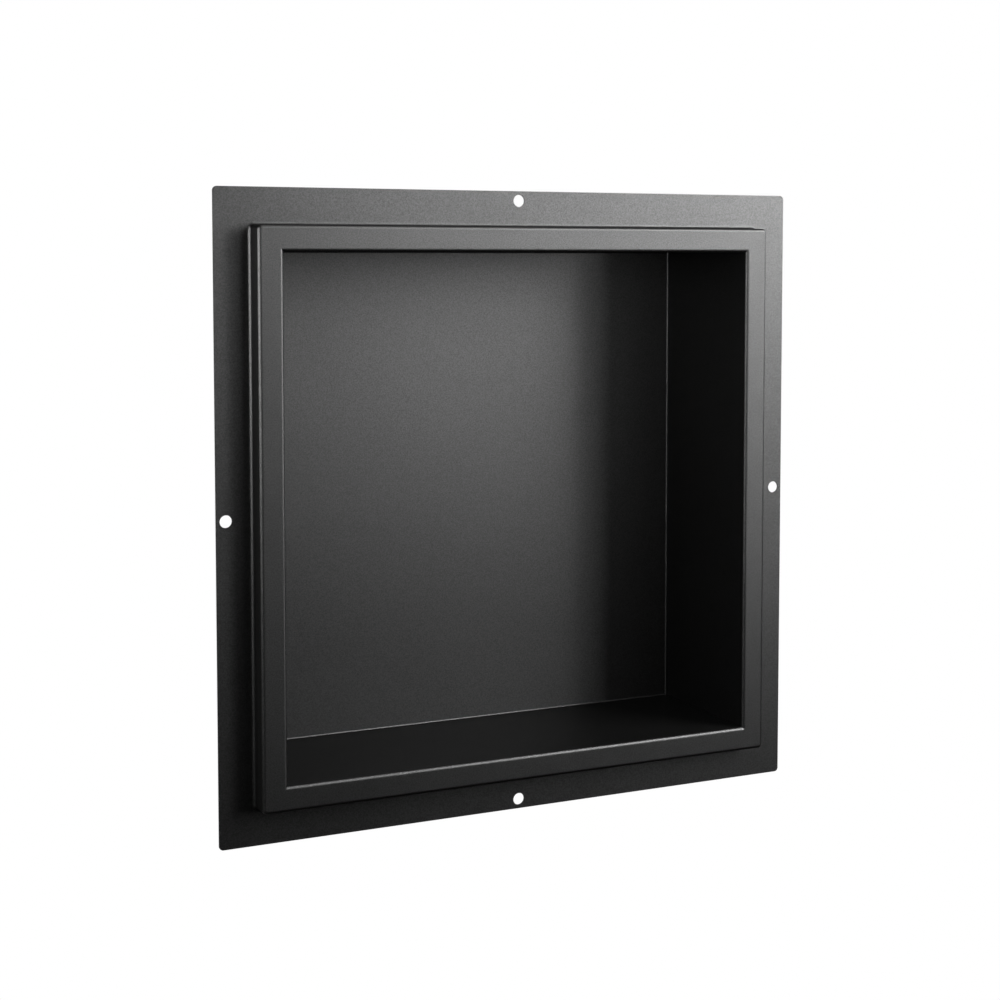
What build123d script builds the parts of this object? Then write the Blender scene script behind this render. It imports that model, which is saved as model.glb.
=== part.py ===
# Recessed shower niche, folded from one steel sheet: a flat fixing flange, a raised rim and a square box.
# Millimetres. +X is right, +Y goes into the wall, +Z is up, and the open front faces -Y.
# The origin is the centre of the flange's back, the plane that lies on the wall.
import os

from build123d import *

# Driving dimensions
sheet = 1.0                  # thickness of the sheet
opening_width = 305.0        # clear width between the box's side walls
opening_height = 305.0       # clear height between the box's floor and top
recess_depth = 100.0         # from the front of the rim to the face of the back panel
rim_width = 15.0             # from the box wall's inner face to the rim's outer face
rim_rise = 14.5              # how far the rim's front stands ahead of the flange's front
flange_width = 21.5          # how far the flange reaches past the rim
fold_radius = 1.0            # inside radius of the folds of the rim and of the box
root_radius = 2.0            # front radius where the rim's wall leaves the flange
rim_corner_radius = 1.5      # inside radius of the rim's four corners
flange_corner_radius = 2.5   # rounding of the flange's four corners
screw_hole_diameter = 7.3
screw_hole_inset = 5.8       # from the flange's edge to a hole's centre

# Sizes that follow: both sides of the sheet share the centre of every fold
outer_fold_radius = fold_radius + sheet
outer_root_radius = root_radius + sheet
outer_rim_corner_radius = rim_corner_radius + sheet
rim_outer_width = opening_width + 2 * rim_width
rim_outer_height = opening_height + 2 * rim_width
rim_inner_width = rim_outer_width - 2 * sheet
rim_inner_height = rim_outer_height - 2 * sheet
flange_outer_width = rim_outer_width + 2 * flange_width
flange_outer_height = rim_outer_height + 2 * flange_width
box_outer_width = opening_width + 2 * sheet
box_outer_height = opening_height + 2 * sheet
rim_front = sheet + rim_rise                  # ahead of the flange's back
box_back = recess_depth + sheet - rim_front   # behind the flange's back
hole_across = flange_outer_width / 2 - screw_hole_inset
hole_up = flange_outer_height / 2 - screw_hole_inset

with BuildPart() as niche_insert:
    # The flange is a flat plate with its back on the wall.
    with BuildSketch(Plane.XZ):
        RectangleRounded(flange_outer_width, flange_outer_height, flange_corner_radius)
    extrude(amount=sheet)

    # The rim starts as a solid block on the flange, and its front edge is folded over.
    with BuildSketch(Plane.XZ.offset(sheet)):
        RectangleRounded(rim_outer_width, rim_outer_height, outer_rim_corner_radius)
    extrude(amount=rim_rise)
    rim_face = niche_insert.faces().sort_by(Axis.Y)[0]
    fillet(rim_face.edges(), outer_fold_radius)

    # The rim's wall runs out into the flange's front through the root radius.
    flange_front = niche_insert.faces().filter_by(Plane.XZ).sort_by(Axis.Y)[1]
    fillet(flange_front.inner_wires()[0].edges(), root_radius)

    # The box starts as a solid block behind the flange, folded round its back panel.
    with BuildSketch(Plane.XZ):
        Rectangle(box_outer_width, box_outer_height)
    extrude(amount=-box_back)
    panel_back = niche_insert.faces().sort_by(Axis.Y)[-1]
    fillet(panel_back.edges(), outer_fold_radius)

    # The recess is cut from the front: its corners are square, so the folds meet there in mitres.
    with BuildSketch(Plane.XZ.offset(rim_front)):
        Rectangle(opening_width, opening_height)
    extrude(amount=-recess_depth, mode=Mode.SUBTRACT)
    panel_edges = niche_insert.edges(Select.LAST).group_by(Axis.Y)[-1]
    fillet(panel_edges, fold_radius)
    rim_face = niche_insert.faces().sort_by(Axis.Y)[0]
    fillet(rim_face.inner_wires()[0].edges(), outer_fold_radius)

    # The rim is hollowed from behind, down to one sheet all round the box.
    with BuildSketch(Plane.XZ):
        RectangleRounded(rim_inner_width, rim_inner_height, rim_corner_radius)
        Rectangle(box_outer_width, box_outer_height, mode=Mode.SUBTRACT)
    extrude(amount=rim_rise, mode=Mode.SUBTRACT)
    rim_underside_edges = niche_insert.edges(Select.LAST).group_by(Axis.Y)[0]
    fillet(rim_underside_edges, fold_radius)
    flange_back = niche_insert.faces().filter_by(Plane.XZ).sort_by(Axis.Y)[-3]
    fillet(flange_back.inner_wires()[0].edges(), outer_root_radius)

    # One screw hole goes through the flange at the middle of each side.
    with BuildSketch(Plane.XZ):
        with Locations((0, hole_up), (0, -hole_up), (hole_across, 0), (-hole_across, 0)):
            Circle(screw_hole_diameter / 2)
    extrude(amount=sheet, mode=Mode.SUBTRACT)

niche_insert.part.label = "niche_insert"
os.makedirs("parts", exist_ok=True)
export_step(niche_insert.part, "parts/niche_insert.step")
print("niche_insert", niche_insert.part.bounding_box().size, "volume", round(niche_insert.part.volume))
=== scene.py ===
# %% [markdown]
# # A recessed shower niche in satin black
#
# The object is a shelf that is built into a shower wall. One steel sheet is folded into a square box, a
# raised rim round its mouth and a flat flange with four screw holes, and all of it is coated black. The
# CAD model already holds the whole shape, down to the radius of each fold, so this lesson adds what CAD
# leaves out: a camera, the coating and a studio whose lamps show the folds.

# %% [markdown]
# ## Load the frame
#
# Every object in this scene is in metres, in the frame of the CAD model, so nothing has to be fitted by
# eye. The niche's own box is measured straight away, before anything else is made.
# Its flange lies in the plane Y = 0, its mouth looks along -Y, and Z points up the wall.

# %% Load the frame
import math

import bmesh
import bpy
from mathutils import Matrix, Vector


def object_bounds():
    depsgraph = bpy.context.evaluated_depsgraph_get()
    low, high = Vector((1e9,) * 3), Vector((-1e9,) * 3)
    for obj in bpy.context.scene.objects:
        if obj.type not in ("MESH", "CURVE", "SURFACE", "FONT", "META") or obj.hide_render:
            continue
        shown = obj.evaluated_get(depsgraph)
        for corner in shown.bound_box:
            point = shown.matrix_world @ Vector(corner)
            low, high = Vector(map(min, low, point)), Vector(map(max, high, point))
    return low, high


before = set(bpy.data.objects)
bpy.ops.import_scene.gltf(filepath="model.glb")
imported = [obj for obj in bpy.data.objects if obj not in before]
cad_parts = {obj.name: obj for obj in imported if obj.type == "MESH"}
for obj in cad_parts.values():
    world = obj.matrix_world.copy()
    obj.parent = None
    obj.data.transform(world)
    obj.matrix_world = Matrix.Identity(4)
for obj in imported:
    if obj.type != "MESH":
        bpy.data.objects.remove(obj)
cad_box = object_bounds()
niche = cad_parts["niche_insert"]
scene = bpy.context.scene
sides_mm = [round(1000 * side, 1) for side in cad_box[1] - cad_box[0]]
print("the niche measures", sides_mm, "mm and has", len(niche.data.polygons), "facets")

# %% [markdown]
# ## The camera
#
# The product picture is taken from the left of the mouth, at the height of the opening's upper edge. Its
# upright edges stay almost parallel, because the photographer held the camera nearly level and shifted
# the lens down instead of tilting the whole camera. A camera that only tilts would make those edges lean
# towards each other, so this one has a small tilt and a small shift, and the tenth of a degree of roll
# that a hand-set tripod leaves. The place and the lens come from solving for the edges of the flange, the
# rim, the opening and the back panel at once, which is steadier than matching one edge after another.

# %% Camera
camera_place = Vector((-0.48634, -1.02867, 0.152))
turn_right = 26.5795     # degrees from straight into the wall
tilt_down = 3.8682       # degrees below the horizon
roll_left = 0.1083       # degrees about the line of sight
lens_length = 67.673     # millimetres
sensor_width = 36.0      # millimetres
shift_right = -0.06      # shares of the picture's width
shift_up = -0.12

camera_data = bpy.data.cameras.new("product_camera")
camera_data.sensor_width = sensor_width
camera_data.lens = lens_length
camera_data.shift_x = shift_right
camera_data.shift_y = shift_up
camera = bpy.data.objects.new("product_camera", camera_data)
camera.location = camera_place
camera.rotation_euler = (math.radians(90 - tilt_down), 0, math.radians(-turn_right))
camera.rotation_euler.rotate_axis("Z", math.radians(roll_left))
scene.collection.objects.link(camera)
scene.camera = camera
scene.view_settings.view_transform = "Standard"
view_width = math.degrees(2 * math.atan(sensor_width / (2 * lens_length)))
print("the camera stands", round(camera_place.length, 3), "m from the flange's middle")
print("and sees", round(view_width, 1), "degrees across")

# %% [markdown]
# ## Helpers for the nodes
#
# A coating has no seams and no end. Noise on Object coordinates suits it better than a picture does: it
# needs no unwrapping, keeps its real size in metres and runs on round every fold. Three small helpers
# keep the later cells short. The first adds a node, the second adds a noise whose blotches have a given
# width, and the third spreads that noise, which rarely leaves the middle of its range, over the values
# that a socket needs.

# %% Helpers for the nodes
noise_low = 0.3          # a noise seldom goes below this
noise_high = 0.7         # or above this


def add_node(tree, kind, **settings):
    """Adds a node of one kind to a tree and sets its properties."""
    node = tree.nodes.new(kind)
    for name, value in settings.items():
        setattr(node, name, value)
    return node


def add_noise(tree, blotch_width, detail):
    """Adds a noise on Object coordinates whose blotches are about as wide as given, in metres."""
    place = add_node(tree, "ShaderNodeTexCoord")
    noise = add_node(tree, "ShaderNodeTexNoise")
    noise.inputs["Scale"].default_value = 1 / blotch_width
    noise.inputs["Detail"].default_value = detail
    tree.links.new(place.outputs["Object"], noise.inputs["Vector"])
    return noise.outputs["Fac"]


def add_range(tree, source, low, high):
    """Spreads a noise, which stays near the middle of 0 to 1, over the values from low to high."""
    spread = add_node(tree, "ShaderNodeMapRange")
    spread.inputs["From Min"].default_value = noise_low
    spread.inputs["From Max"].default_value = noise_high
    spread.inputs["To Min"].default_value = low
    spread.inputs["To Max"].default_value = high
    tree.links.new(source, spread.inputs["Value"])
    return spread.outputs["Result"]


print("node helpers ready:", add_node.__name__, add_noise.__name__, add_range.__name__)

# %% [markdown]
# ## The coating's gloss
#
# The black on such a niche is a thin hard layer on steel. It scatters almost no light from inside: nearly
# all that the eye gets is a soft mirror image of the studio, about a twelfth as bright as the lamps.
# Black paint as a plastic, with a dark colour and a clear gloss, was the first thing to try. Plastic
# turns into a strong mirror at a shallow angle, and the niche's floor, which is seen at a shallow angle,
# came out far too bright. A metal with a dark colour keeps its strength as it tips away. The Specular
# Tint of a metal sets how much it still mirrors near the edge, so a grey tint there holds the floor of
# the niche down as well.

# %% The coating's gloss
edge_mirror = 0.41       # share of the mirror image that is left at a shallow angle

coating = bpy.data.materials.new("satin_black_coating")
coating.use_nodes = True
coat = coating.node_tree
coat_shader = coat.nodes["Principled BSDF"]
coat_shader.inputs["Metallic"].default_value = 1.0
coat_shader.inputs["Specular Tint"].default_value = (edge_mirror, edge_mirror, edge_mirror, 1.0)
print("new material:", coating.name)

# %% [markdown]
# ## The coating's grain
#
# Close up, the coating isn't even. Its grains are finer than a millimetre and make the satin faces
# sparkle a little, so the colour moves between two blacks over a fine noise. The two blacks have the same
# hue, because the coating is neutral, and their middle is the twelfth that was named above.

# %% The coating's grain
grain_width = 0.0007     # metres
darker_black = (0.062, 0.062, 0.062, 1.0)
paler_black = (0.098, 0.098, 0.098, 1.0)

fine_grain = add_noise(coat, grain_width, detail=2)
speckle = add_node(coat, "ShaderNodeMix", data_type="RGBA")
speckle.inputs["A"].default_value = darker_black
speckle.inputs["B"].default_value = paler_black
coat.links.new(add_range(coat, fine_grain, 0, 1), speckle.inputs["Factor"])
coat.links.new(speckle.outputs["Result"], coat_shader.inputs["Base Color"])
print("grains", 1000 * grain_width, "mm wide, black from", darker_black[0], "to", paler_black[0])

# %% [markdown]
# ## The coating's sheen
#
# Roughness decides how far a lamp's mirror image is smeared out. The smear is wide enough that no lamp
# keeps an edge, and narrow enough that the faces fade from pale to dark across the part. A sprayed layer
# is never equally thick, so the roughness drifts slowly, over patches as wide as a hand, by an amount
# that is felt more than seen.

# %% The coating's sheen
patch_width = 0.09       # metres
smoothest = 0.35
roughest = 0.37

drift = add_noise(coat, patch_width, detail=3)
coat.links.new(add_range(coat, drift, smoothest, roughest), coat_shader.inputs["Roughness"])
print("roughness drifts from", smoothest, "to", roughest)

# %% [markdown]
# ## The coating's relief
#
# A sprayed coating sets into tiny hills, finer than a pixel of this picture. Nobody sees one hill: what
# shows is that their slopes smear the lamps' images a little more. Roughness alone smears too, but it
# also has a haze that reaches very far, and with it the dark corner of the niche came out grey. Less
# roughness and a relief on top give a soft image with little haze. A Bump node tips the normals by the
# slope of a noise. Real hills would need millions of facets and would move the CAD surface, which has to
# stay as it is.

# %% The coating's relief
hill_width = 0.00015     # metres
hill_height = 0.00005    # metres, for the noise's whole range

hills = add_noise(coat, hill_width, detail=0)
relief = add_node(coat, "ShaderNodeBump")
relief.inputs["Distance"].default_value = hill_height
coat.links.new(hills, relief.inputs["Height"])
coat.links.new(relief.outputs["Normal"], coat_shader.inputs["Normal"])
niche.material_slots[0].material = coating
print(niche.name, "wears", niche.material_slots[0].material.name)

# %% [markdown]
# ## The floor
#
# A niche of this kind sits at about chest height, so the studio's floor lies well below it. The floor is
# a pale round sheet behind the niche and to its left, where the lamps' soft shadow of the niche falls.
# Nothing pale lies in front of the niche or straight below it, because every fold that looks down would
# mirror it as a bright line, and on the real object those folds are black.

# %% Floor
floor_level = -1.2       # metres above the niche's middle
floor_middle = Vector((-0.8, 1.1, floor_level))
floor_radius = 1.2
floor_corners = 96

sheet = bmesh.new()
bmesh.ops.create_circle(sheet, cap_ends=True, segments=floor_corners, radius=floor_radius)
bmesh.ops.translate(sheet, verts=sheet.verts, vec=floor_middle)
floor_mesh = bpy.data.meshes.new("studio_floor")
sheet.to_mesh(floor_mesh)
sheet.free()
floor = bpy.data.objects.new("studio_floor", floor_mesh)
scene.collection.objects.link(floor)
print("the floor is", 2 * floor_radius, "m wide and lies", -floor_level, "m below the niche's middle")

# %% [markdown]
# ## Which rays see white
#
# The picture's background is pure white, and the niche is nearly black. If the white room also lit the
# niche, the black would turn grey. A Light Path node tells the rays apart: a ray that comes straight from
# the camera, or from it by way of gloss or glass, gets the white, and the rays that carry the room's
# light onto the floor get a plain level.

# %% Which rays see white
def add_looking_rays(tree):
    """Gives two sockets: 1 for a camera ray, and 1 for a camera, glossy or transmission ray."""
    path = add_node(tree, "ShaderNodeLightPath")
    seen = path.outputs["Is Camera Ray"]
    for kind in ("Is Glossy Ray", "Is Transmission Ray"):
        total = add_node(tree, "ShaderNodeMath", operation="MAXIMUM")
        tree.links.new(seen, total.inputs[0])
        tree.links.new(path.outputs[kind], total.inputs[1])
        seen = total.outputs["Value"]
    return path.outputs["Is Camera Ray"], seen


print("rays that see white: camera, glossy and transmission")

# %% [markdown]
# ## The floor's paint
#
# The floor is painted a pale matt grey. Paint alone would be white only under a strong lamp, so it gets a
# glow as well, for the looking rays. The paint under the glow still takes the niche's shadow.

# %% The floor's paint
paint_grey = 0.8
floor_glow = 0.75

pale = bpy.data.materials.new("pale_floor")
pale.use_nodes = True
paint = pale.node_tree
paint.nodes.clear()
matt = add_node(paint, "ShaderNodeBsdfDiffuse")
matt.inputs["Color"].default_value = (paint_grey, paint_grey, paint_grey, 1.0)
glow = add_node(paint, "ShaderNodeEmission")
floor_seen = add_looking_rays(paint)[1]
share = add_node(paint, "ShaderNodeMath", operation="MULTIPLY")
share.inputs[1].default_value = floor_glow
paint.links.new(floor_seen, share.inputs[0])
paint.links.new(share.outputs["Value"], glow.inputs["Strength"])
both = add_node(paint, "ShaderNodeAddShader")
paint.links.new(matt.outputs["BSDF"], both.inputs[0])
paint.links.new(glow.outputs["Emission"], both.inputs[1])
print("the floor glows with", floor_glow, "for the rays that look at it")

# %% [markdown]
# ## The floor's edge
#
# A sheet that simply stopped would show as a line against the white room. So the paint turns clear
# towards the edge: a distance from the floor's middle drives the mix of paint and nothing, and the floor
# melts away.

# %% The floor's edge
clear_from = 0.5         # metres from the floor's middle

place = add_node(paint, "ShaderNodeTexCoord")
reach = add_node(paint, "ShaderNodeVectorMath", operation="DISTANCE")
reach.inputs[1].default_value = floor_middle
paint.links.new(place.outputs["Object"], reach.inputs[0])
fade = add_node(paint, "ShaderNodeMapRange", interpolation_type="SMOOTHSTEP")
fade.inputs["From Min"].default_value = clear_from
fade.inputs["From Max"].default_value = floor_radius
paint.links.new(reach.outputs["Value"], fade.inputs["Value"])
clear = add_node(paint, "ShaderNodeBsdfTransparent")
melt = add_node(paint, "ShaderNodeMixShader")
paint.links.new(fade.outputs["Result"], melt.inputs["Fac"])
paint.links.new(both.outputs["Shader"], melt.inputs[1])
paint.links.new(clear.outputs["BSDF"], melt.inputs[2])
paint_out = add_node(paint, "ShaderNodeOutputMaterial")
paint.links.new(melt.outputs["Shader"], paint_out.inputs["Surface"])
floor_mesh.materials.append(pale)
print("the floor melts away from", clear_from, "to", floor_radius, "m")

# %% [markdown]
# ## The room
#
# The world is the room round the stage. It has two backgrounds: a plain dim one, whose light falls on the
# floor, and a white one for the rays that look. The helper from above tells the two kinds of ray apart.

# %% The room
fill_level = 0.25        # the room's light on the floor

world = bpy.data.worlds.new("studio_room")
world.use_nodes = True
scene.world = world
room = world.node_tree
room.nodes.clear()
room_out = add_node(room, "ShaderNodeOutputWorld")
fill = add_node(room, "ShaderNodeBackground")
fill.inputs["Color"].default_value = (fill_level, fill_level, fill_level, 1.0)
backdrop = add_node(room, "ShaderNodeBackground")
backdrop.inputs["Color"].default_value = (1.0, 1.0, 1.0, 1.0)
camera_sees, room_seen = add_looking_rays(room)
print("new world:", world.name)

# %% [markdown]
# ## The white part of the room
#
# To the camera the room is white in every direction. In the niche's gloss only the part behind the niche
# is white, and it fades out towards the sides, because the photographer's side is dark apart from the
# lamps: black faces that look that way get their tone from the lamps alone.

# %% The white part of the room
white_begins = 0.5       # a direction's share along +Y where the white starts
white_full = 0.95        # and where it is complete

toward = add_node(room, "ShaderNodeTexCoord")
parts = add_node(room, "ShaderNodeSeparateXYZ")
room.links.new(toward.outputs["Generated"], parts.inputs["Vector"])
behind = add_node(room, "ShaderNodeMapRange", interpolation_type="SMOOTHSTEP")
behind.inputs["From Min"].default_value = white_begins
behind.inputs["From Max"].default_value = white_full
room.links.new(parts.outputs["Y"], behind.inputs["Value"])
white_share = add_node(room, "ShaderNodeMath", operation="MAXIMUM")
room.links.new(camera_sees, white_share.inputs[0])
room.links.new(behind.outputs["Result"], white_share.inputs[1])
room.links.new(white_share.outputs["Value"], backdrop.inputs["Strength"])
choice = add_node(room, "ShaderNodeMixShader")
room.links.new(room_seen, choice.inputs["Fac"])
room.links.new(fill.outputs["Background"], choice.inputs[1])
room.links.new(backdrop.outputs["Background"], choice.inputs[2])
room.links.new(choice.outputs["Shader"], room_out.inputs["Surface"])
print("the room has", len(room.nodes), "nodes")

# %% [markdown]
# ## The softboxes
#
# On a satin black face, light is drawn by what stands opposite to it. A softbox is a wide cloth with a
# lamp behind it, and Blender's area lamp is the same thing without the cloth. Its energy is the light of
# the whole cloth, so the helper takes the glow of one spot of it and multiplies by the area, and by pi
# for the half sphere that a flat lamp shines into: then a wider box is just wider, and not dimmer.

# %% A softbox
aim_point = Vector((0, cad_box[0].y, 0))


def add_softbox(name, azimuth, elevation, distance, width, height, glow):
    """Adds a soft lamp that faces the niche's mouth. Azimuth 0 is in front, and 90 is to the right."""
    across = math.radians(azimuth)
    up = math.radians(elevation)
    direction = Vector((math.sin(across) * math.cos(up), -math.cos(across) * math.cos(up), math.sin(up)))
    lamp = bpy.data.lights.new(name, "AREA")
    lamp.shape = "RECTANGLE"
    lamp.size = width
    lamp.size_y = height
    lamp.energy = glow * math.pi * width * height
    holder = bpy.data.objects.new(name, lamp)
    holder.location = aim_point + distance * direction
    holder.rotation_euler = direction.to_track_quat("Z", "Y").to_euler()
    holder.visible_camera = False
    scene.collection.objects.link(holder)
    print(name, "gives", round(lamp.energy, 1), "W from", distance, "m")


# %% [markdown]
# ## Seven lamps
#
# The key stands to the right and rather high, close enough that the lower edge of the niche gets less of
# it than the upper one. The camera stands to the left, so the key's soft image lies on the right of the
# flange and fades to the left. A small low box beside it fills the top of the back panel, which the rim
# hides from the key. A long low box close by on the left draws the lines along the upright folds. Two
# tall narrow ones hang close in front of the mouth, tipped down towards it, and draw the lines along the
# folds that look up. A weak wide one overhead and one on the far right keep the last folds from going
# black. The helper hides each of them from the camera, and the gloss still sees them all.

# %% Seven lamps
add_softbox("key_softbox", azimuth=52.3, elevation=25.0, distance=1.27, width=0.6, height=0.82, glow=15.3)
add_softbox("low_softbox", azimuth=37.0, elevation=1.0, distance=1.26, width=0.3, height=0.38, glow=5.0)
add_softbox("left_softbox", azimuth=-77.0, elevation=14.0, distance=0.76, width=0.88, height=0.18, glow=10.5)
add_softbox("top_softbox", azimuth=20.4, elevation=32.5, distance=0.4, width=0.305, height=0.78, glow=0.41)
add_softbox("high_softbox", azimuth=4.2, elevation=40.0, distance=0.4, width=0.15, height=0.44, glow=1.36)
add_softbox("over_softbox", azimuth=30.0, elevation=75.0, distance=0.9, width=0.6, height=0.6, glow=1.1)
add_softbox("right_softbox", azimuth=105.0, elevation=20.0, distance=1.2, width=0.6, height=0.6, glow=6.0)
